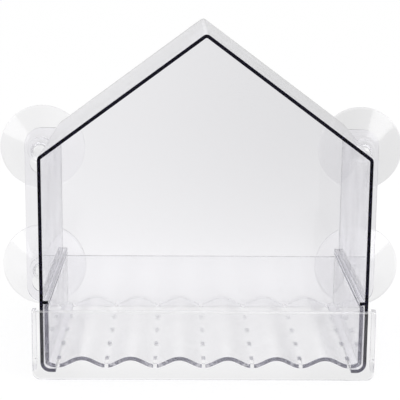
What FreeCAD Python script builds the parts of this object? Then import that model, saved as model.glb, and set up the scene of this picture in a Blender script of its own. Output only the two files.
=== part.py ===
# Clear house-shaped bird feeder that hangs on a window pane from four suction cups.
# The seed tray pulls out to the front, and the house lifts off the cup heads.
# Axes: seen from the garden, +X is right, +Z is up and +Y points into the pane.
# Origin: on the pane, at the centre of the four cups. All sizes are millimetres.
import FreeCAD, Part
import math
import os

# House: one clear moulding with walls, roof, back plate, ears, rails and lips
house_width = 150.0        # outside, across the side walls
house_depth = 100.0        # front rim to the back of the back plate
wall_height = 100.0        # underside of the lips to the shoulder
roof_rise = 55.5           # shoulder to ridge
wall = 1.6                 # side walls, roof and back plate
ridge_round = 2.5          # outer round at the ridge and the shoulders
lip = 1.65                 # thickness of the turned-in lips that carry the tray
lip_reach = 7.0            # outside of the wall to the tip of the lip
lip_round = 4.6            # outer round from wall to lip
rail = 1.6                 # thickness of the rails that hold the tray down
rail_reach = 2.4           # how far a rail stands in from the wall
rail_top = 33.8            # underside of the lips to the top of the rails
ear_reach = 17.75          # outside of a wall to the outer edge of its ear
ear_bottom = 3.4           # underside of the lips to the lower edge of the ears
ear_height = 94.6
ear_round = 9.0

# Suction cups: clear soft plastic, each with a mushroom head on a neck
cup_beside_wall = 9.6      # outside of a wall to the cup axes beside it
cup_spacing_z = 64.6       # lower to upper cup axes
cup_above_lip = 21.0       # underside of the lips to the lower cup axes
cup_radius = 22.5
cup_rim = 1.2              # width of the flat rim that seals on the pane
cup_edge = 0.8             # thickness at the rim
cup_height = 12.4          # pane to the front of the collar
cone_height = 8.4          # pane to the foot of the collar
cone_top_radius = 8.2
hollow_depth = 5.6         # pane to the top of the hollow
hollow_top_radius = 5.0
collar_radius = 6.9
neck_radius = 3.0
head_radius = 4.9
head_height = 3.2
head_edge = 1.05           # straight side of the head below its dome
head_flat = 0.8            # radius of the flat on top of the dome
head_gap = 0.25            # play of the back plate between collar and head

# Keyholes in the ears: the heads pass the round entry, the necks sit in the slot
slot_gap = 0.4             # neck to slot, each side
entry_gap = 0.6            # head to entry hole, all round
keyhole_drop = 6.4         # neck seat down to the centre of the entry hole

# Tray: one clear moulding with a waved floor, sides, back and a wide front panel
tray_wall = 1.8
tray_side_gap = 0.7        # tray side to house wall
tray_seat_gap = 0.5        # waved floor to lip
tray_rail_gap = 0.4        # tray side to the rail over it
tray_back_gap = 0.6        # tray back to back plate
tray_back_top = 30.0       # underside of the lips to the top of the tray's back
tray_run = 5.5             # outside of a side to the outermost trough beside it
tray_corner = 2.0          # outer round from side to floor
climb_share = 0.85         # part of the run, inside, that the trough's round may take
wave_count = 6
wave_height = 3.7          # trough to crest
wave_slope = 27.0          # degrees, of the straight runs between the rounds
hole_width = 1.8           # drain slots along every trough
hole_length = 5.0          # front to back
hole_land = 1.5            # back of the panel to the front row, whose slots are longer
hole_rows = 5
hole_front = 8.6           # back of the panel to the first row, were it as long as the others
hole_back = 2.9            # last row to the inside of the tray's back
panel = 2.0
panel_top = 29.6           # underside of the lips to the top of the panel
panel_side_gap = 1.8       # house wall to the panel's return
panel_bottom_gap = 1.6     # lip to the return at the lower corners
panel_return = 1.8         # thickness of the return at the panel's sides
return_depth = 3.4         # how far the return reaches behind the panel
panel_round = 3.7          # outer round of the lower corners
panel_top_round = 1.2

# Places that follow from the sizes above
half = house_width / 2
cup_x = half + cup_beside_wall
roof_angle = math.atan(roof_rise / half)
lip_z = -cup_spacing_z / 2 - cup_above_lip
back_y = -cup_height
plate_y = back_y - wall
rim_y = back_y - house_depth
tray_half = half - wall - tray_side_gap
tray_side_top = rail_top - rail - tray_rail_gap
tray_back_y = plate_y - tray_back_gap
trough_z = lip + tray_seat_gap + tray_wall / 2
crest_z = trough_z + wave_height
wave_pitch = 2 * (tray_half - tray_run) / wave_count
cup_places = {
    "cup_upper_left": (-cup_x, cup_spacing_z / 2),
    "cup_upper_right": (cup_x, cup_spacing_z / 2),
    "cup_lower_left": (-cup_x, -cup_spacing_z / 2),
    "cup_lower_right": (cup_x, -cup_spacing_z / 2),
}


def point(x, z, y=0.0):
    # x across, z above the underside of the lips
    return FreeCAD.Vector(x, y, z + lip_z)


def line(a, b):
    return Part.LineSegment(a, b).toShape()


def arc(a, middle, b):
    return Part.Arc(a, middle, b).toShape()


def corner_span(before, here, after, r):
    # Start, middle and end of the round at a corner between two points.
    if r <= 0:
        return here, None, here
    back = (before - here).normalize()
    ahead = (after - here).normalize()
    half_turn = back.getAngle(ahead) / 2
    reach = r / math.tan(half_turn)
    middle = here + (back + ahead).normalize() * (r / math.sin(half_turn) - r)
    return here + back * reach, middle, here + ahead * reach


def rounded_wire(corners, y):
    # Closed outline in a plane of constant Y. A corner is (x, z, round).
    spots = [point(x, z, y) for x, z, r in corners]
    count = len(corners)
    spans = []
    for i in range(count):
        spans.append(corner_span(spots[i - 1], spots[i], spots[(i + 1) % count], corners[i][2]))
    edges = []
    for i in range(count):
        start, middle, end = spans[i]
        if middle is not None:
            edges.append(arc(start, middle, end))
        edges.append(line(end, spans[(i + 1) % count][0]))
    return Part.Wire(edges)


def plate(wire, thickness):
    # Solid between the wire's plane and a plane further back.
    return Part.Face(wire).extrude(FreeCAD.Vector(0, thickness, 0))


def block(x0, x1, y0, y1, z0, z1):
    return Part.makeBox(x1 - x0, y1 - y0, z1 - z0, point(x0, z0, y0))


def rod(x, z, radius, y0, y1):
    return Part.makeCylinder(radius, y1 - y0, point(x, z, y0), FreeCAD.Vector(0, 1, 0))


def house_outline():
    return [
        (-half, 0, lip_round),
        (-half, wall_height, ridge_round),
        (0, wall_height + roof_rise, ridge_round),
        (half, wall_height, ridge_round),
        (half, 0, lip_round),
    ]


def house_section():
    # Walls, roof and lips as one bent strip, open between the lips.
    inner_round = max(ridge_round - wall, 0)
    lip_inner_round = max(lip_round - max(wall, lip), 0)
    drop = wall / math.cos(roof_angle)
    inner_half = half - wall
    inner_shoulder = wall_height + wall * math.tan(roof_angle) - drop
    inner_ridge = wall_height + roof_rise - drop
    tip = half - lip_reach
    outer = [(-tip, 0, 0)] + house_outline() + [(tip, 0, 0)]
    inner = [
        (tip, lip, 0),
        (inner_half, lip, lip_inner_round),
        (inner_half, inner_shoulder, inner_round),
        (0, inner_ridge, inner_round),
        (-inner_half, inner_shoulder, inner_round),
        (-inner_half, lip, lip_inner_round),
        (-tip, lip, 0),
    ]
    return rounded_wire(outer + inner, rim_y)


def back_plate():
    house = plate(rounded_wire(house_outline(), plate_y), wall)
    ear_half = half + ear_reach
    ear_top = ear_bottom + ear_height
    ears = [
        (-ear_half, ear_bottom, ear_round),
        (-ear_half, ear_top, ear_round),
        (ear_half, ear_top, ear_round),
        (ear_half, ear_bottom, ear_round),
    ]
    return house.fuse(plate(rounded_wire(ears, plate_y), wall))


def rails():
    inner_half = half - wall
    low = rail_top - rail
    left = block(-inner_half, -inner_half + rail_reach, rim_y, plate_y, low, rail_top)
    right = block(inner_half - rail_reach, inner_half, rim_y, plate_y, low, rail_top)
    return [left, right]


def keyhole(x, axis_z):
    # Round entry below, slot above it, round seat for the neck at the top.
    z = axis_z - lip_z
    slot_half = neck_radius + slot_gap
    entry = rod(x, z - keyhole_drop, head_radius + entry_gap, plate_y, back_y)
    slot = block(x - slot_half, x + slot_half, plate_y, back_y, z - keyhole_drop, z)
    seat = rod(x, z, slot_half, plate_y, back_y)
    return entry.fuse([slot, seat])


def house_shell():
    section = plate(house_section(), house_depth)
    solid = section.fuse([back_plate()] + rails())
    for x, z in cup_places.values():
        solid = solid.cut(keyhole(x, z))
    return solid.removeSplitter()


def wave_radius():
    # Round of the middle of the floor at crests and troughs.
    slope = math.radians(wave_slope)
    rise = 2 * (1 - math.cos(slope)) / math.tan(slope)
    return (wave_pitch / 2 - wave_height / math.tan(slope)) / (2 * math.sin(slope) - rise)


def wave_edges(offset):
    # Waved floor line, this far above the middle of the floor, from left to right.
    slope = math.radians(wave_slope)
    radius = wave_radius()
    trough_r = radius - offset
    crest_r = radius + offset
    trough_side = trough_r * math.sin(slope)
    trough_up = trough_z + radius - trough_r * math.cos(slope)
    crest_side = crest_r * math.sin(slope)
    crest_up = crest_z - radius + crest_r * math.cos(slope)
    half_side = trough_r * math.sin(slope / 2)
    half_up = trough_z + radius - trough_r * math.cos(slope / 2)
    edges = []
    for i in range(wave_count):
        left = -tray_half + tray_run + i * wave_pitch
        right = left + wave_pitch
        top = (left + right) / 2
        low_left = point(left, trough_z + offset)
        leave = point(left + trough_side, trough_up)
        climb = point(top - crest_side, crest_up)
        fall = point(top + crest_side, crest_up)
        land = point(right - trough_side, trough_up)
        low_right = point(right, trough_z + offset)
        edges.append(arc(low_left, point(left + half_side, half_up), leave))
        edges.append(line(leave, climb))
        edges.append(arc(climb, point(top, crest_z + offset), fall))
        edges.append(line(fall, land))
        edges.append(arc(land, point(right - half_side, half_up), low_right))
    return edges


def tray_side(offset, top, side):
    # One side of the tray, and the floor from there down to the outermost trough.
    x = tray_half - tray_wall / 2 - offset
    trough_x = tray_half - tray_run
    low = trough_z + offset
    radius = wave_radius() - offset
    inner_radius = wave_radius() - tray_wall / 2
    most = climb_share * (tray_run - tray_wall) / inner_radius
    climb = math.asin(min(math.sin(math.radians(wave_slope)), most))

    def on_round(angle):
        return trough_x + radius * math.sin(angle), low + radius * (1 - math.cos(angle))

    half_x, half_z = on_round(climb / 2)
    end_x, end_z = on_round(climb)
    floor_end = point(side * end_x, end_z)
    foot = point(side * x, end_z + (x - end_x) * math.tan(climb))
    head = point(side * x, top)
    bend = max(tray_corner - tray_wall / 2 - offset, 0)
    start, middle, end = corner_span(floor_end, foot, head, bend)
    edges = [
        arc(point(side * trough_x, low), point(side * half_x, half_z), floor_end),
        line(floor_end, start),
        line(end, head),
    ]
    if middle is not None:
        edges.append(arc(start, middle, end))
    return edges


def tray_line(offset, top):
    # Side, floor and side of the tray as an open line, offset up and in.
    return tray_side(offset, top, -1) + wave_edges(offset) + tray_side(offset, top, 1)


def closed_face(edges, y):
    face = Part.Face(Part.Wire(Part.__sortEdges__(edges)))
    return face.translated(FreeCAD.Vector(0, y, 0))


def tray_trough():
    # Waved floor and sides from the panel to the back.
    outer_x = tray_half
    inner_x = tray_half - tray_wall
    top = tray_side_top
    edges = tray_line(-tray_wall / 2, top) + tray_line(tray_wall / 2, top)
    edges.append(line(point(-outer_x, top), point(-inner_x, top)))
    edges.append(line(point(inner_x, top), point(outer_x, top)))
    return closed_face(edges, rim_y).extrude(FreeCAD.Vector(0, tray_back_y - rim_y, 0))


def tray_back():
    edges = tray_line(-tray_wall / 2, tray_back_top)
    edges.append(line(point(-tray_half, tray_back_top), point(tray_half, tray_back_top)))
    face = closed_face(edges, tray_back_y - tray_wall)
    return face.extrude(FreeCAD.Vector(0, tray_wall, 0))


def front_panel():
    # Wide panel with a return along both sides, down to the middle of the lower corners.
    inner_half = half + panel_side_gap
    outer_half = inner_half + panel_return
    inner_low = -panel_bottom_gap
    outer_low = inner_low - panel_return
    inner_round = max(panel_round - panel_return, 0)
    outer = [
        (-outer_half, outer_low, panel_round),
        (-outer_half, panel_top, panel_top_round),
        (outer_half, panel_top, panel_top_round),
        (outer_half, outer_low, panel_round),
    ]
    inner = [
        (-inner_half, inner_low, inner_round),
        (-inner_half, panel_top + panel, 0),
        (inner_half, panel_top + panel, 0),
        (inner_half, inner_low, inner_round),
    ]
    dish = plate(rounded_wire(outer, rim_y - panel), panel + return_depth)
    hollow = plate(rounded_wire(inner, rim_y), return_depth)
    low_end = outer_low + panel_round / 2
    below = block(-outer_half, outer_half, rim_y, rim_y + return_depth, outer_low, low_end)
    return dish.cut([hollow, below])


def drain_holes():
    first = rim_y + hole_front
    last = tray_back_y - tray_wall - hole_back
    low = trough_z - tray_wall
    high = trough_z + tray_wall
    cuts = []
    for column in range(wave_count + 1):
        x = -tray_half + tray_run + column * wave_pitch
        for row in range(hole_rows):
            rear = first + (last - first) * row / (hole_rows - 1) + hole_length / 2
            front = rim_y + hole_land if row == 0 else rear - hole_length
            cuts.append(block(x - hole_width / 2, x + hole_width / 2, front, rear, low, high))
    return cuts


def seed_tray():
    solid = tray_trough().fuse([tray_back(), front_panel()])
    return solid.removeSplitter().cut(drain_holes())


def cup_profile():
    # Half section of a cup: distance from the axis, distance out from the pane.
    neck_end = cup_height + wall + head_gap
    head_end = neck_end + head_height
    dome_start = neck_end + head_edge
    dome_rise = head_height - head_edge
    # The dome's centre lies this far below its start.
    sink = (head_radius ** 2 - head_flat ** 2 - dome_rise ** 2) / (2 * dome_rise)
    dome_radius = math.hypot(head_radius, sink)
    halfway = (math.atan2(head_radius, sink) + math.atan2(head_flat, sink + dome_rise)) / 2

    def spot(r, out):
        return FreeCAD.Vector(r, -out, 0)

    dome_middle = spot(dome_radius * math.sin(halfway), dome_start - sink + dome_radius * math.cos(halfway))
    return [
        line(spot(0, hollow_depth), spot(hollow_top_radius, hollow_depth)),
        line(spot(hollow_top_radius, hollow_depth), spot(cup_radius - cup_rim, 0)),
        line(spot(cup_radius - cup_rim, 0), spot(cup_radius, 0)),
        line(spot(cup_radius, 0), spot(cup_radius, cup_edge)),
        line(spot(cup_radius, cup_edge), spot(cone_top_radius, cone_height)),
        line(spot(cone_top_radius, cone_height), spot(collar_radius, cone_height)),
        line(spot(collar_radius, cone_height), spot(collar_radius, cup_height)),
        line(spot(collar_radius, cup_height), spot(neck_radius, cup_height)),
        line(spot(neck_radius, cup_height), spot(neck_radius, neck_end)),
        line(spot(neck_radius, neck_end), spot(head_radius, neck_end)),
        line(spot(head_radius, neck_end), spot(head_radius, dome_start)),
        arc(spot(head_radius, dome_start), dome_middle, spot(head_flat, head_end)),
        line(spot(head_flat, head_end), spot(0, head_end)),
        line(spot(0, head_end), spot(0, hollow_depth)),
    ]


def suction_cup(x, z):
    face = Part.Face(Part.Wire(cup_profile()))
    cup = face.revolve(FreeCAD.Vector(0, 0, 0), FreeCAD.Vector(0, 1, 0), 360)
    return cup.translated(FreeCAD.Vector(x, 0, z))


os.makedirs("parts", exist_ok=True)
house_shell().exportStep("parts/house_shell.step")
seed_tray().exportStep("parts/seed_tray.step")
for name, place in cup_places.items():
    suction_cup(*place).exportStep("parts/" + name + ".step")
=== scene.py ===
import math
import bpy
import bmesh
from mathutils import Matrix, Vector


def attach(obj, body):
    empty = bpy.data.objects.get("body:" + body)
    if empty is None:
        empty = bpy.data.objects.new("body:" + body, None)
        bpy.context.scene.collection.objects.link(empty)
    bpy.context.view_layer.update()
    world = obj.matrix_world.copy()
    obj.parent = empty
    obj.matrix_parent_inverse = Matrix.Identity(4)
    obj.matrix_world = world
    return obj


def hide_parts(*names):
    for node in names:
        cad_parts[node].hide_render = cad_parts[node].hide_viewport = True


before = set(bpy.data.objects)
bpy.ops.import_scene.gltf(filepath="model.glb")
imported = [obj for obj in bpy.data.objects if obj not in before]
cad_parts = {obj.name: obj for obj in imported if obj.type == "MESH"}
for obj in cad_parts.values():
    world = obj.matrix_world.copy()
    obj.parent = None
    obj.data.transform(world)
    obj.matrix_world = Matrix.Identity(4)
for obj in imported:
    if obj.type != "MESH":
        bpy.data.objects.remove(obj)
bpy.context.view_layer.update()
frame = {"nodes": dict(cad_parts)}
scene = bpy.context.scene
scene.view_settings.view_transform = "Standard"
print("frame loaded:", ", ".join(frame["nodes"]))

# sizes are millimetres, and a finished mesh is scaled to metres
mm = 0.001
lipLevel = -53.3      # underside of the house's lips, from the middle of the cups
rimFront = -112.4     # front rim of the house
weld = 1e-4           # vertices nearer than this become one
slack = 0.01          # play for finding faces and edges by their place

# light runs far inside clear walls, so its paths may turn often
scene.cycles.max_bounces = 40
scene.cycles.glossy_bounces = 32
scene.cycles.transmission_bounces = 40
scene.cycles.transparent_max_bounces = 32


def emptyTree(owner):
    owner.use_nodes = True
    owner.node_tree.nodes.clear()
    return owner.node_tree


def ramp(tree, value, start, end, low, high, blend="SMOOTHSTEP"):
    grade = tree.nodes.new("ShaderNodeMapRange")
    grade.interpolation_type = blend
    for key, number in (("From Min", start), ("From Max", end), ("To Min", low), ("To Max", high)):
        grade.inputs[key].default_value = number
    tree.links.new(value, grade.inputs["Value"])
    return grade.outputs["Result"]


def both(tree, operation, one, two):
    # sum, product or the like of two values, each a number or an output
    step = tree.nodes.new("ShaderNodeMath")
    step.operation = operation
    for socket, value in zip(step.inputs, (one, two)):
        if isinstance(value, float):
            socket.default_value = value
        else:
            tree.links.new(value, socket)
    return step.outputs["Value"]


def picked(tree, share, one, two):
    pick = tree.nodes.new("ShaderNodeMixShader")
    for socket, value in zip(pick.inputs, (share, one, two)):
        tree.links.new(value, socket)
    return pick.outputs["Shader"]


def tinted(tree, share, one, two):
    # from one colour to the other
    blend = tree.nodes.new("ShaderNodeMix")
    blend.data_type = "RGBA"
    blend.inputs["A"].default_value = (*one, 1)
    blend.inputs["B"].default_value = (*two, 1)
    tree.links.new(share, blend.inputs["Factor"])
    return blend.outputs["Result"]


def faceMark(tree, name):
    # what a piece's faces carry under this name
    mark = tree.nodes.new("ShaderNodeAttribute")
    mark.attribute_name = name
    return mark.outputs["Fac"]


def noise(tree, place, scale, detail):
    cloud = tree.nodes.new("ShaderNodeTexNoise")
    cloud.inputs["Scale"].default_value = scale
    cloud.inputs["Detail"].default_value = detail
    tree.links.new(place, cloud.inputs["Vector"])
    return cloud.outputs["Fac"]


surface = {"polishScale": 90.0, "polishDetail": 3.0, "polishSpan": (0.35, 0.70), "flowDetail": 1.0,
           "flowDepth": 0.001}
houseFinish = {
    "body": (0.991, 0.988, 0.998), "tint": (0.50, 0.487, 0.60), "density": 62.0, "ior": 1.49,
    "shade": (0.90, 0.90, 0.92), "rough": (0.04, 0.08), "wave": 0.05, "waveScale": 42.0,
    # painted shade on the rim: the share it still mirrors, and the dark colour painted on it
    "rimShadePaint": 0.1, "rimShadePaintColour": (0.03, 0.03, 0.035), "glossIor": 1.9, "glossRough": 0.1,
}
trayFinish = {
    "body": (0.995, 0.994, 0.998), "tint": (0.50, 0.495, 0.55), "density": 26.0, "ior": 1.49,
    "shade": (0.92, 0.92, 0.94), "rough": (0.02, 0.05), "wave": 0.05, "waveScale": 55.0,
    "glossIor": 3.4, "glossRough": 0.2,
}
cupFinish = {
    "body": (0.996, 0.994, 1.0), "tint": (0.55, 0.55, 0.58), "density": 20.0, "ior": 1.50,
    "shade": (0.90, 0.90, 0.92), "rough": (0.10, 0.15), "wave": 0.03, "waveScale": 160.0,
    # painted light on the hubs: their clearer colour
    "hubLightPaint": (1.0, 1.0, 1.0),
}


def clearFinish(name, look):
    # clear moulding: absorbs a little along the way, with faint flow waves and a changing polish
    material = bpy.data.materials.new(name)
    tree = emptyTree(material)
    nodes, links = tree.nodes, tree.links
    out = nodes.new("ShaderNodeOutputMaterial")
    body = nodes.new("ShaderNodeBsdfPrincipled")
    body.inputs["Base Color"].default_value = (*look["body"], 1)
    body.inputs["IOR"].default_value = look["ior"]
    body.inputs["Transmission Weight"].default_value = 1.0

    place = nodes.new("ShaderNodeTexCoord").outputs["Object"]
    polish = noise(tree, place, surface["polishScale"], surface["polishDetail"])
    rough = ramp(tree, polish, *surface["polishSpan"], *look["rough"], blend="LINEAR")
    rough = both(tree, "ADD", rough, faceMark(tree, "frost"))   # the mould leaves some faces dull
    links.new(rough, body.inputs["Roughness"])

    flow = noise(tree, place, look["waveScale"], surface["flowDetail"])
    swell = nodes.new("ShaderNodeBump")
    swell.inputs["Strength"].default_value = look["wave"]
    swell.inputs["Distance"].default_value = surface["flowDepth"]
    links.new(flow, swell.inputs["Height"])
    links.new(swell.outputs["Normal"], body.inputs["Normal"])

    if "hubLightPaint" in look:                      # faces marked with hub light paint are painted clearer than the rest: painted light
        hubLightPaint = tinted(tree, faceMark(tree, "hubLightPaint"), look["body"], look["hubLightPaint"])
        links.new(hubLightPaint, body.inputs["Base Color"])
    if "rimShadePaint" in look:                     # faces marked with rim shade paint get painted shade: a dark colour, and they mirror only this share
        rimShadePaint = faceMark(tree, "rimShadePaint")
        mirror = ramp(tree, rimShadePaint, 0.0, 1.0, 1.0, look["rimShadePaint"], blend="LINEAR")
        links.new(mirror, body.inputs["Specular Tint"])
        links.new(tinted(tree, rimShadePaint, look["body"], look["rimShadePaintColour"]), body.inputs["Base Color"])
    if "glossIor" in look:                  # faces marked gloss have a polished coat
        links.new(faceMark(tree, "gloss"), body.inputs["Coat Weight"])
        body.inputs["Coat IOR"].default_value = look["glossIor"]
        body.inputs["Coat Roughness"].default_value = look["glossRough"]

    # lamps and floor see straight through it, so its shadow stays light
    through = nodes.new("ShaderNodeBsdfTransparent")
    through.inputs["Color"].default_value = (*look["shade"], 1)
    path = nodes.new("ShaderNodeLightPath")
    either = both(tree, "MAXIMUM", path.outputs["Is Shadow Ray"], path.outputs["Is Diffuse Ray"])
    links.new(picked(tree, either, body.outputs["BSDF"], through.outputs["BSDF"]), out.inputs["Surface"])

    depth = nodes.new("ShaderNodeVolumeAbsorption")
    depth.inputs["Color"].default_value = (*look["tint"], 1)
    depth.inputs["Density"].default_value = look["density"]
    links.new(depth.outputs["Volume"], out.inputs["Volume"])
    return material


clearHouse = clearFinish("clearHouse", houseFinish)
clearTray = clearFinish("clearTray", trayFinish)
softCup = clearFinish("softCup", cupFinish)
print("finishes ready")


def addObject(name, bm):
    mesh = bpy.data.meshes.new(name)
    bm.to_mesh(mesh)
    bm.free()
    piece = bpy.data.objects.new(name, mesh)
    scene.collection.objects.link(piece)
    return piece


def smoothFaces(bm, angle):
    # smooth rounds, and crisp edges where two faces meet at more than this many degrees
    for face in bm.faces:
        face.smooth = True
    for edge in bm.edges:
        edge.smooth = edge.calc_face_angle(0.0) < math.radians(angle)


def finishPiece(piece, body, node, material):
    piece.data.materials.append(material)
    weigh = piece.modifiers.new("evenNormals", "WEIGHTED_NORMAL")
    weigh.keep_sharp = True
    weigh.weight = 100                      # large flat faces decide
    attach(piece, body)
    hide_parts(node)


def chained(bm, spots):
    # wire through these places
    verts = [bm.verts.new(spot) for spot in spots]
    for pair in zip(verts, verts[1:]):
        bm.edges.new(pair)
    return verts


def roundCorners(bm, corners, segments):
    # corners: (vertex, reach of the round along both edges)
    for vert, reach in corners:
        if reach > 0:
            bmesh.ops.bevel(bm, geom=[vert], offset=reach, offset_type="OFFSET", segments=segments,
                            profile=0.5, affect="VERTICES", material=-1)


def roundEdges(bm, edges, reach, segments=3):
    bmesh.ops.bevel(bm, geom=edges, offset=reach, offset_type="OFFSET", segments=segments, profile=0.5,
                    affect="EDGES", clamp_overlap=False, material=-1)


cupShape = {
    # distance from the axis, distance out from the pane, reach of the round there
    "section": [(0, 5.6, 0), (5.0, 5.6, 1.0), (21.3, 0, 0.35), (22.5, 0, 0.15), (22.5, 0.8, 0.3),
                (8.2, 8.4, 0.5), (6.9, 8.4, 0.4), (6.9, 12.35, 1.2), (3.0, 12.35, 0.25), (3.0, 14.25, 0.25),
                (4.9, 14.25, 0.4), (4.9, 15.3, 0.5), (2.6, 17.45, 2.4), (0, 17.45, 0)],
    "roundSteps": 6, "turnSteps": 112, "sharp": 50,
    "splits": [(6.0, 3), (1.5, 1)],         # runs longer than this get so many cuts
    "hubStart": -8.2, "hubFrost": 0.08,     # in front of the cone it has painted light, a clearer colour, and is a little dull
    "places": {"cup_upper_left": (-84.6, 32.3), "cup_upper_right": (84.6, 32.3),
               "cup_lower_left": (-84.6, -32.3), "cup_lower_right": (84.6, -32.3)},
}


def buildCup(name, x, z):
    bm = bmesh.new()
    verts = chained(bm, [(r, -out, 0) for r, out, reach in cupShape["section"]])
    roundCorners(bm, [(v, spot[2]) for v, spot in zip(verts, cupShape["section"])], cupShape["roundSteps"])
    for longer, cuts in cupShape["splits"]:
        runs = [e for e in bm.edges if e.calc_length() > longer]
        bmesh.ops.subdivide_edges(bm, edges=runs, cuts=cuts)
    bmesh.ops.spin(bm, geom=bm.verts[:] + bm.edges[:], cent=(0, 0, 0), axis=(0, 1, 0), angle=2 * math.pi,
                   steps=cupShape["turnSteps"], use_merge=True)
    bmesh.ops.remove_doubles(bm, verts=bm.verts, dist=weld)
    bmesh.ops.recalc_face_normals(bm, faces=bm.faces)
    hubLightPaint = bm.faces.layers.float.new("hubLightPaint")
    frost = bm.faces.layers.float.new("frost")
    for face in bm.faces:
        spot = face.calc_center_median()
        face[hubLightPaint] = float(spot.y < cupShape["hubStart"])
        face[frost] = cupShape["hubFrost"] * face[hubLightPaint]
    smoothFaces(bm, cupShape["sharp"])
    bmesh.ops.translate(bm, vec=(x, 0, z), verts=bm.verts)
    bmesh.ops.scale(bm, vec=(mm, mm, mm), verts=bm.verts)
    return addObject(name + "_soft", bm)


for name, (x, z) in cupShape["places"].items():
    finishPiece(buildCup(name, x, z), "window_cups", name, softCup)
print("cups spun")


houseShape = {
    "merge": 0.001, "flat": 0.2, "sharp": 40, "edgeRound": 0.18,
    "lipRound": 4.6, "rimFacing": -0.1,
    "gloss": 1.0, "railTop": 33.8, "railFacing": 0.5,
    "keyholeReach": 12.0, "keyholeSpan": (-16.0, -10.0), "keyholeFacing": 0.9,
}


def onKeyhole(face, spot):
    # edge of a keyhole, where a cup's neck slides
    h = houseShape
    near = min(math.hypot(spot.x - x * mm, spot.z - z * mm) for x, z in cupShape["places"].values())
    front, rear = h["keyholeSpan"]
    inPlate = near < h["keyholeReach"] * mm and front * mm < spot.y < rear * mm
    return inPlate and abs(face.normal.y) < h["keyholeFacing"]


def buildHouse():
    # the moulding's own mesh, merged, with every outer sharp edge rounded
    h = houseShape
    bm = bmesh.new()
    bm.from_mesh(frame["nodes"]["house_shell"].data)
    bmesh.ops.remove_doubles(bm, verts=bm.verts, dist=h["merge"] * mm)
    bmesh.ops.dissolve_limit(bm, angle_limit=math.radians(h["flat"]), verts=bm.verts, edges=bm.edges)
    sharp = [e for e in bm.edges if e.calc_face_angle(0.0) > math.radians(h["sharp"]) and e.is_convex]
    roundEdges(bm, sharp, h["edgeRound"] * mm)
    # painted shade: the rim is painted dark and mirrors little, down to the round of the lips
    foot = (lipLevel + h["lipRound"]) * mm
    bmesh.ops.bisect_plane(bm, geom=bm.verts[:] + bm.edges[:] + bm.faces[:], plane_co=(0, 0, foot),
                           plane_no=(0, 0, 1), dist=h["merge"] * mm)
    bm.normal_update()
    railTop = (lipLevel + h["railTop"]) * mm
    rimShadePaint = bm.faces.layers.float.new("rimShadePaint")
    gloss = bm.faces.layers.float.new("gloss")
    for face in bm.faces:
        spot = face.calc_center_median()
        onRim = face.normal.y < h["rimFacing"] and spot.y < (rimFront + h["edgeRound"]) * mm
        face[rimShadePaint] = float(onRim and spot.z > foot)
        onRail = face.normal.z > h["railFacing"] and abs(spot.z - railTop) < h["edgeRound"] * mm
        face[gloss] = h["gloss"] * float(onRail or onKeyhole(face, spot))
    smoothFaces(bm, h["sharp"])
    return addObject("house_clear", bm)


finishPiece(buildHouse(), "house", "house_shell", clearHouse)
print("house rounded")


trayShape = {
    "half": 72.7, "wall": 1.8, "front": rimFront - 1.0, "back": -14.6, "sideTop": 31.8, "backTop": 30.0,
    "rimRound": 0.35, "backRound": 0.6, "sharp": 40, "crease": 35, "longEdge": 1.0, "inset": 0.04,
    # waved floor, which climbs to the sides over its run
    "underside": 2.15, "run": 5.5, "corner": 2.0, "waves": 6, "pitch": 22.4, "waveHeight": 3.85,
    "slope": 27.0, "floorZone": 9.0, "roundSteps": 10, "lineWeld": 0.02, "lineRun": 0.8,
    "lineCuts": (3, 1, 1), "smoothPasses": 8, "smoothShare": 0.5, "smoothMargin": 0.5,
    # middles of the first and last row of slots; the front row starts further forward
    "slotFirst": -103.8, "slotLast": -19.3, "slotCount": 5, "slotLong": 5.0, "slotFront": -110.9,
    "slotWide": 1.8, "slotHigh": 4.0, "slotRise": 1.0, "slotTop": 0.5, "slotFacing": -0.9,
    "panelHalf": 78.6, "panelLow": -3.4, "panelTop": 29.6, "panelFront": -114.4,
    "panelBack": rimFront - 0.08, "panelCorner": 3.7, "panelTopCorner": 1.2, "panelFrontRound": 0.78,
    "panelBackRound": 0.6, "panelSteps": 4,
    # turned-back edges of the panel, with the height over which they run out
    "returnWall": 1.75, "returnBack": rimFront + 3.4, "returnFoot": 1.0, "returnOverlap": 0.8,
    "returnRound": 0.3, "returnTall": 10, "returnCuts": 24, "runOut": 9.0, "runEnd": 0.12,
    # how dull the mould leaves the faces, and where
    "slotFrost": 0.38, "rimFrost": 0.5, "endFrost": 0.2, "panelHaze": 0.08, "floorHaze": 0.05,
    "endWide": 5.0, "endTop": 1.0, "endLow": 4.0, "hazeDepth": 0.1, "floorTop": 8.2,
}


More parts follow.
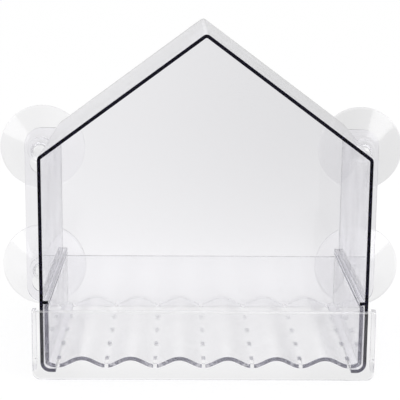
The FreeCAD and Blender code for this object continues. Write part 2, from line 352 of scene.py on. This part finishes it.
def trayLine(bm, outset):
    # side, waved floor and side as one wire in the plane y = 0, this far inside the outer face
    t = trayShape
    slope = math.radians(t["slope"])
    x = t["half"] - outset
    rise = 2 * (1 - math.cos(slope)) / math.tan(slope)
    radius = (t["pitch"] / 2 - t["waveHeight"] / math.tan(slope)) / (2 * math.sin(slope) - rise)
    shift = outset - t["wall"] / 2                  # from the middle of the floor
    troughRound = (radius - shift) * math.tan(slope)
    crestRound = (radius + shift) * math.tan(slope)
    middle = t["underside"] + t["wall"] / 2 + t["waveHeight"] / 2 + shift / math.cos(slope)
    swing = t["pitch"] / 4 * math.tan(slope)
    start = t["half"] - t["run"]
    foot = middle - swing + (x - start) * math.tan(slope)
    bend = (t["corner"] - outset) * math.tan(math.radians(45) - slope / 2)
    spots = [(-x, t["sideTop"], 0), (-x, foot, bend)]
    for i in range(2 * t["waves"] + 1):
        height, reach = (middle + swing, crestRound) if i % 2 == 1 else (middle - swing, troughRound)
        spots.append((-start + i * t["pitch"] / 2, height, reach))
    spots += [(x, foot, bend), (x, t["sideTop"], 0)]
    verts = chained(bm, [(sx, 0, sz) for sx, sz, reach in spots])
    roundCorners(bm, [(v, s[2]) for v, s in zip(verts, spots)], t["roundSteps"])
    bmesh.ops.remove_doubles(bm, verts=bm.verts, dist=t["lineWeld"])
    for cuts in t["lineCuts"]:
        runs = [e for e in bm.edges if e.calc_length() > t["lineRun"]
                and max(v.co.z for v in e.verts) < t["floorZone"]]
        bmesh.ops.subdivide_edges(bm, edges=runs, cuts=cuts)
    inner = start - t["smoothMargin"]
    floor = [v for v in bm.verts if abs(v.co.x) < inner and v.co.z < t["floorZone"]]
    for step in range(t["smoothPasses"]):
        bmesh.ops.smooth_vert(bm, verts=floor, factor=t["smoothShare"], use_axis_x=True, use_axis_z=True)


def moveMade(bm, made, vec):
    bmesh.ops.translate(bm, vec=vec, verts=[g for g in made["geom"] if isinstance(g, bmesh.types.BMVert)])


def pushed(bm, faces, vec):
    moveMade(bm, bmesh.ops.extrude_face_region(bm, geom=faces), vec)


def swept(bm, depth):
    moveMade(bm, bmesh.ops.extrude_edge_only(bm, edges=bm.edges[:]), (0, depth, 0))


def sharpEdge(edge):
    return edge.calc_face_angle(0.0) > math.radians(trayShape["sharp"])


def onPlane(edge, level):
    # edge at this distance from the pane
    return all(abs(v.co.y - level) < slack for v in edge.verts)


def trayTrough():
    t = trayShape
    bm = bmesh.new()
    trayLine(bm, 0.0)
    swept(bm, t["back"] - t["front"])
    bmesh.ops.recalc_face_normals(bm, faces=bm.faces)
    lowest = min(bm.faces, key=lambda f: f.calc_center_median().z)
    if lowest.normal.z > 0:
        bmesh.ops.reverse_faces(bm, faces=bm.faces)
    bmesh.ops.solidify(bm, geom=bm.faces[:], thickness=t["wall"])
    bmesh.ops.recalc_face_normals(bm, faces=bm.faces)
    bmesh.ops.translate(bm, vec=(0, t["front"], 0), verts=bm.verts)
    rims = [e for e in bm.edges if min(v.co.z for v in e.verts) > t["sideTop"] - slack
            and sharpEdge(e) and abs(e.verts[0].co.y - e.verts[1].co.y) > t["longEdge"]]
    roundEdges(bm, rims, t["rimRound"])
    return addObject("trayTrough", bm)


def trayBack():
    t = trayShape
    bm = bmesh.new()
    trayLine(bm, t["wall"] / 2)
    for vert in bm.verts:
        if vert.co.z > t["backTop"]:
            vert.co.z = t["backTop"]
    ends = sorted((v for v in bm.verts if len(v.link_edges) == 1), key=lambda v: v.co.x)
    bm.edges.new(ends)
    face = bmesh.ops.contextual_create(bm, geom=bm.edges[:])["faces"]
    bmesh.ops.translate(bm, vec=(0, t["back"] - t["wall"], 0), verts=bm.verts)
    pushed(bm, face, (0, t["wall"] - t["inset"], 0))
    bmesh.ops.recalc_face_normals(bm, faces=bm.faces)
    rims = [e for e in bm.edges if min(v.co.z for v in e.verts) > t["backTop"] - slack
            and abs(e.verts[0].co.x - e.verts[1].co.x) > t["longEdge"]]
    roundEdges(bm, rims, t["backRound"])
    return addObject("trayBack", bm)


def trayPanel():
    t = trayShape
    bm = bmesh.new()
    w, low, top = t["panelHalf"], t["panelLow"], t["panelTop"]
    corners = [bm.verts.new((x, t["panelFront"], z)) for x, z in ((-w, low), (w, low), (w, top), (-w, top))]
    bm.faces.new(corners)
    rounds = [(v, t["panelCorner"] if v.co.z < 0 else t["panelTopCorner"]) for v in corners]
    roundCorners(bm, rounds, t["roundSteps"])
    pushed(bm, bm.faces[:], (0, t["panelBack"] - t["panelFront"], 0))
    bmesh.ops.recalc_face_normals(bm, faces=bm.faces)
    for level, reach in ((t["panelFront"], t["panelFrontRound"]), (t["panelBack"], t["panelBackRound"])):
        roundEdges(bm, [e for e in bm.edges if onPlane(e, level)], reach, t["panelSteps"])
    return addObject("trayPanel", bm)


def panelReturn(side):
    # turned-back edge along one side of the panel, down to the lower corner
    t = trayShape
    bm = bmesh.new()
    x, low = t["panelHalf"] - t["inset"], t["panelLow"] + t["inset"]
    top, inner = t["panelTop"] - t["inset"], -x + t["panelCorner"] + t["returnFoot"]
    verts = chained(bm, [(-x, 0, top), (-x, 0, low), (inner, 0, low)])
    roundCorners(bm, [(verts[1], t["panelCorner"])], t["roundSteps"])
    start = t["panelBack"] - t["returnOverlap"]
    swept(bm, t["returnBack"] - start)
    bmesh.ops.recalc_face_normals(bm, faces=bm.faces)
    upright = max(bm.faces, key=lambda f: f.calc_area())
    if upright.normal.x > 0:
        bmesh.ops.reverse_faces(bm, faces=bm.faces)
    bmesh.ops.solidify(bm, geom=bm.faces[:], thickness=t["returnWall"])
    # towards the corner it runs out softly into the panel
    runs = [e for e in bm.edges if abs(e.verts[0].co.z - e.verts[1].co.z) > t["returnTall"]]
    bmesh.ops.subdivide_edges(bm, edges=runs, cuts=t["returnCuts"], use_grid_fill=True)
    for vert in bm.verts:
        gone = min(1.0, max(0.0, low + t["runOut"] - vert.co.z) / (t["runOut"] - t["returnWall"]))
        vert.co.y *= max(t["runEnd"], 1.0 - gone * gone * (3 - 2 * gone))
    bmesh.ops.translate(bm, vec=(0, start, 0), verts=bm.verts)
    if side > 0:
        bmesh.ops.scale(bm, vec=(-1, 1, 1), verts=bm.verts)
    bmesh.ops.recalc_face_normals(bm, faces=bm.faces)
    roundEdges(bm, [e for e in bm.edges if onPlane(e, t["returnBack"]) and sharpEdge(e)], t["returnRound"])
    return addObject("panelReturn", bm)


def slotRows():
    # front and rear end of the slots in each row
    t = trayShape
    rows = []
    for row in range(t["slotCount"]):
        middle = t["slotFirst"] + (t["slotLast"] - t["slotFirst"]) * row / (t["slotCount"] - 1)
        front = t["slotFront"] if row == 0 else middle - t["slotLong"] / 2
        rows.append((front, middle + t["slotLong"] / 2))
    return rows


def drainSlots():
    t = trayShape
    bm = bmesh.new()
    for column in range(t["waves"] + 1):
        for start, end in slotRows():
            made = bmesh.ops.create_cube(bm, size=1.0)["verts"]
            bmesh.ops.scale(bm, vec=(t["slotWide"], end - start, t["slotHigh"]), verts=made)
            x = (column - t["waves"] / 2) * t["pitch"]
            bmesh.ops.translate(bm, vec=(x, (start + end) / 2, t["underside"] + t["slotRise"]), verts=made)
    return addObject("drainSlots", bm)


def inSlot(face, spot):
    # far wall of a drain slot, the side that is seen from the front
    t = trayShape
    column = round(spot.x / t["pitch"]) * t["pitch"]
    atEnd = min(abs(end - spot.y) for start, end in slotRows()) < slack
    near = atEnd and abs(spot.x - column) < t["slotWide"] / 2
    low = spot.z < t["underside"] + t["wall"] + t["slotTop"]
    return near and low and face.normal.y < t["slotFacing"]


def onReturnEnd(spot):
    # upper end and lower corner of the panel's turned-back edges
    t = trayShape
    atEnd = spot.z > t["panelTop"] - t["endTop"] or spot.z < t["panelLow"] + t["endLow"]
    return atEnd and abs(spot.x) > t["panelHalf"] - t["endWide"]


def onPanelTop(spot):
    # rounded upper edge of the panel and of its returns
    t = trayShape
    low = t["panelTop"] - t["panelFrontRound"]
    return low < spot.z < t["panelTop"] + slack and spot.y < t["returnBack"]


def dullness(face, spot):
    t = trayShape
    if inSlot(face, spot):
        return t["slotFrost"]
    if spot.z > t["sideTop"] - t["rimRound"] - slack:
        return t["rimFrost"]
    if onReturnEnd(spot):
        return t["endFrost"]
    if spot.y < t["panelBack"] + t["hazeDepth"]:
        return t["panelHaze"]
    return t["floorHaze"] if spot.z < t["floorTop"] else 0.0


def joined(base, tools):
    # tools: (object, UNION or DIFFERENCE), used up one after the other
    for tool, operation in tools:
        step = base.modifiers.new(tool.name, "BOOLEAN")
        step.object = tool
        step.operation = operation
        step.solver = "EXACT"
    graph = bpy.context.evaluated_depsgraph_get()
    mesh = bpy.data.meshes.new_from_object(base.evaluated_get(graph))
    bm = bmesh.new()
    bm.from_mesh(mesh)
    bpy.data.meshes.remove(mesh)
    for thing in [base] + [tool for tool, operation in tools]:
        old = thing.data
        bpy.data.objects.remove(thing)
        bpy.data.meshes.remove(old)
    return bm


def buildTray():
    bm = joined(trayTrough(), [(trayBack(), "UNION"), (trayPanel(), "UNION"), (panelReturn(-1), "UNION"),
                               (panelReturn(1), "UNION"), (drainSlots(), "DIFFERENCE")])
    bmesh.ops.remove_doubles(bm, verts=bm.verts, dist=weld)
    bm.normal_update()
    frost = bm.faces.layers.float.new("frost")
    gloss = bm.faces.layers.float.new("gloss")
    for face in bm.faces:
        spot = face.calc_center_median()
        face[frost] = dullness(face, spot)
        face[gloss] = float(onPanelTop(spot))
    bmesh.ops.translate(bm, vec=(0, 0, lipLevel), verts=bm.verts)
    bmesh.ops.scale(bm, vec=(mm, mm, mm), verts=bm.verts)
    smoothFaces(bm, trayShape["crease"])
    loose = sum(1 for e in bm.edges if len(e.link_faces) != 2)
    print("tray mesh:", len(bm.faces), "faces,", loose, "loose edges")
    return addObject("tray_clear", bm)


finishPiece(buildTray(), "tray", "seed_tray", clearTray)
print("tray joined")


stage = {"floorLevel": -0.0570, "floorSize": 4.0, "floorColour": (0.92, 0.92, 0.92), "floorWhite": 1.02,
         "shadowShare": 0.15, "ambient": 0.95}


def buildFloor():
    bm = bmesh.new()
    bmesh.ops.create_grid(bm, x_segments=1, y_segments=1, size=stage["floorSize"])
    bmesh.ops.translate(bm, vec=(0, 0, stage["floorLevel"]), verts=bm.verts)
    floor = addObject("floor", bm)
    paint = bpy.data.materials.new("palePaper")
    tree = emptyTree(paint)
    nodes, links = tree.nodes, tree.links
    out = nodes.new("ShaderNodeOutputMaterial")
    matt = nodes.new("ShaderNodeBsdfDiffuse")
    matt.inputs["Color"].default_value = (*stage["floorColour"], 1)
    white = nodes.new("ShaderNodeEmission")
    white.inputs["Strength"].default_value = stage["floorWhite"]
    path = nodes.new("ShaderNodeLightPath")
    share = both(tree, "MULTIPLY", path.outputs["Is Camera Ray"], 1.0 - stage["shadowShare"])
    links.new(picked(tree, share, matt.outputs["BSDF"], white.outputs["Emission"]), out.inputs["Surface"])
    floor.data.materials.append(paint)
    floor.visible_glossy = False        # clear walls show the studio's backdrop instead
    floor.visible_transmission = False


buildFloor()

backdrop = {
    "away": 0.45, "size": 1.2, "most": 1.06, "curveTop": 2.0,
    # lighter on the left and darker on the right, less so lower down
    "lean": 0.065, "leanWide": 0.15, "leanHeights": (-0.26, -0.02), "leanShare": (0.2, 1.0),
    # darker to both sides in its lower part, and lighter far up
    "flank": -0.035, "flankSpan": (0.09, 0.12), "flankHeights": (-0.12, -0.08),
    "sky": 0.8, "skyHeights": (0.12, 0.22),
    # tone of the room from its left to its right
    "room": (0.68, 1.02), "roomWide": 0.25,
    # height on the sheet and its tone there; its darker foot, below -0.225, is painted shadow of the feeder
    # on the floor
    "tones": [(0.0, 0.836), (-0.035, 0.844), (-0.09, 0.880), (-0.13, 0.932), (-0.165, 1.0), (-0.195, 0.945),
              (-0.225, 1.02), (-0.25, 0.915), (-0.27, 0.87)],
}


def splitPlace(tree, kind):
    place = tree.nodes.new("ShaderNodeTexCoord")
    split = tree.nodes.new("ShaderNodeSeparateXYZ")
    tree.links.new(place.outputs[kind], split.inputs["Vector"])
    return split.outputs["X"], split.outputs["Z"]


def toneCurve(tree, up):
    # the sheet's tone by its height
    tones, most = backdrop["tones"], backdrop["curveTop"]
    top, foot = tones[0][0], tones[-1][0]
    curve = tree.nodes.new("ShaderNodeFloatCurve")
    points = curve.mapping.curves[0].points
    for height, tone in tones[1:-1]:
        points.new((top - height) / (top - foot), tone / most)
    points[0].location = (0.0, tones[0][1] / most)
    points[len(points) - 1].location = (1.0, tones[-1][1] / most)
    curve.mapping.update()
    tree.links.new(ramp(tree, up, top, foot, 0.0, 1.0, blend="LINEAR"), curve.inputs["Value"])
    return both(tree, "MULTIPLY", curve.outputs["Value"], most)


def buildBackdrop():
    # softly graded white sheet behind the feeder, seen only in and through its clear walls
    b = backdrop
    bm = bmesh.new()
    bmesh.ops.create_grid(bm, x_segments=1, y_segments=1, size=b["size"])
    bmesh.ops.rotate(bm, cent=(0, 0, 0), matrix=Matrix.Rotation(math.radians(90), 3, "X"), verts=bm.verts)
    bmesh.ops.translate(bm, vec=(0, b["away"], 0), verts=bm.verts)
    sheet = addObject("backdrop", bm)
    paper = bpy.data.materials.new("gradedPaper")
    tree = emptyTree(paper)
    across, up = splitPlace(tree, "Object")
    lean = ramp(tree, across, -b["leanWide"], b["leanWide"], b["lean"], -b["lean"])
    lean = both(tree, "MULTIPLY", lean, ramp(tree, up, *b["leanHeights"], *b["leanShare"]))
    flank = ramp(tree, both(tree, "ABSOLUTE", across, 0.0), *b["flankSpan"], 0.0, b["flank"])
    flank = both(tree, "MULTIPLY", flank, ramp(tree, up, *b["flankHeights"], 1.0, 0.0))
    tone = both(tree, "ADD", toneCurve(tree, up), both(tree, "ADD", lean, flank))
    sky = ramp(tree, up, *b["skyHeights"], 0.0, b["sky"])
    glow = tree.nodes.new("ShaderNodeEmission")
    tree.links.new(both(tree, "ADD", both(tree, "MINIMUM", tone, b["most"]), sky), glow.inputs["Strength"])
    out = tree.nodes.new("ShaderNodeOutputMaterial")
    tree.links.new(glow.outputs["Emission"], out.inputs["Surface"])
    sheet.data.materials.append(paper)
    sheet.visible_camera = sheet.visible_diffuse = sheet.visible_shadow = False


buildBackdrop()


def buildWorld():
    # white to the camera, even light to the floor, and a pale room to clear walls
    world = bpy.data.worlds.new("studio")
    scene.world = world
    tree = emptyTree(world)
    path = tree.nodes.new("ShaderNodeLightPath")
    clear = both(tree, "MAXIMUM", path.outputs["Is Glossy Ray"], path.outputs["Is Transmission Ray"])
    across, up = splitPlace(tree, "Generated")
    room = ramp(tree, across, -backdrop["roomWide"], backdrop["roomWide"], *backdrop["room"])
    change = both(tree, "MULTIPLY", clear, both(tree, "SUBTRACT", room, stage["ambient"]))
    level = both(tree, "ADD", change, stage["ambient"])
    light = tree.nodes.new("ShaderNodeBackground")
    light.inputs["Color"].default_value = (1, 1, 1, 1)
    tree.links.new(both(tree, "MAXIMUM", level, path.outputs["Is Camera Ray"]), light.inputs["Strength"])
    out = tree.nodes.new("ShaderNodeOutputWorld")
    tree.links.new(light.outputs["Background"], out.inputs["Surface"])


buildWorld()

lamps = {
    "left": {"at": (-0.42, -0.24, 0.17), "size": (0.165, 0.18), "power": 0.21},
    "right": {"at": (0.60, -0.55, 0.42), "size": (0.42, 0.50), "power": 2.3},
}


def buildLamps():
    for name, lamp in lamps.items():
        data = bpy.data.lights.new("softbox_" + name, "AREA")
        data.shape = "RECTANGLE"
        data.size, data.size_y = lamp["size"]
        data.energy = lamp["power"]
        box = bpy.data.objects.new("softbox_" + name, data)
        box.location = lamp["at"]
        box.rotation_euler = (-Vector(lamp["at"])).to_track_quat("-Z", "Y").to_euler()
        box.visible_camera = False
        box.visible_transmission = False
        scene.collection.objects.link(box)


buildLamps()
print("studio lit")

cameraSet = {"at": (-0.01103, -0.66364, 0.14626), "yaw": 0.901, "pitch": -12.119, "roll": 0.514,
             "lens": 113.355, "sensor": 36.0}


def buildCamera():
    yaw, pitch, roll = [math.radians(cameraSet[k]) for k in ("yaw", "pitch", "roll")]
    ahead = Vector((math.sin(yaw) * math.cos(pitch), math.cos(yaw) * math.cos(pitch), math.sin(pitch)))
    right = Vector((math.cos(yaw), -math.sin(yaw), 0))
    up = right.cross(ahead)
    across = right * math.cos(roll) + up * math.sin(roll)
    upright = up * math.cos(roll) - right * math.sin(roll)
    data = bpy.data.cameras.new("camera")
    data.lens = cameraSet["lens"]
    data.sensor_width = cameraSet["sensor"]
    camera = bpy.data.objects.new("camera", data)
    pose = Matrix((across, upright, -ahead)).transposed().to_4x4()
    pose.translation = Vector(cameraSet["at"])
    camera.matrix_world = pose
    scene.collection.objects.link(camera)
    scene.camera = camera


buildCamera()
print("camera set")
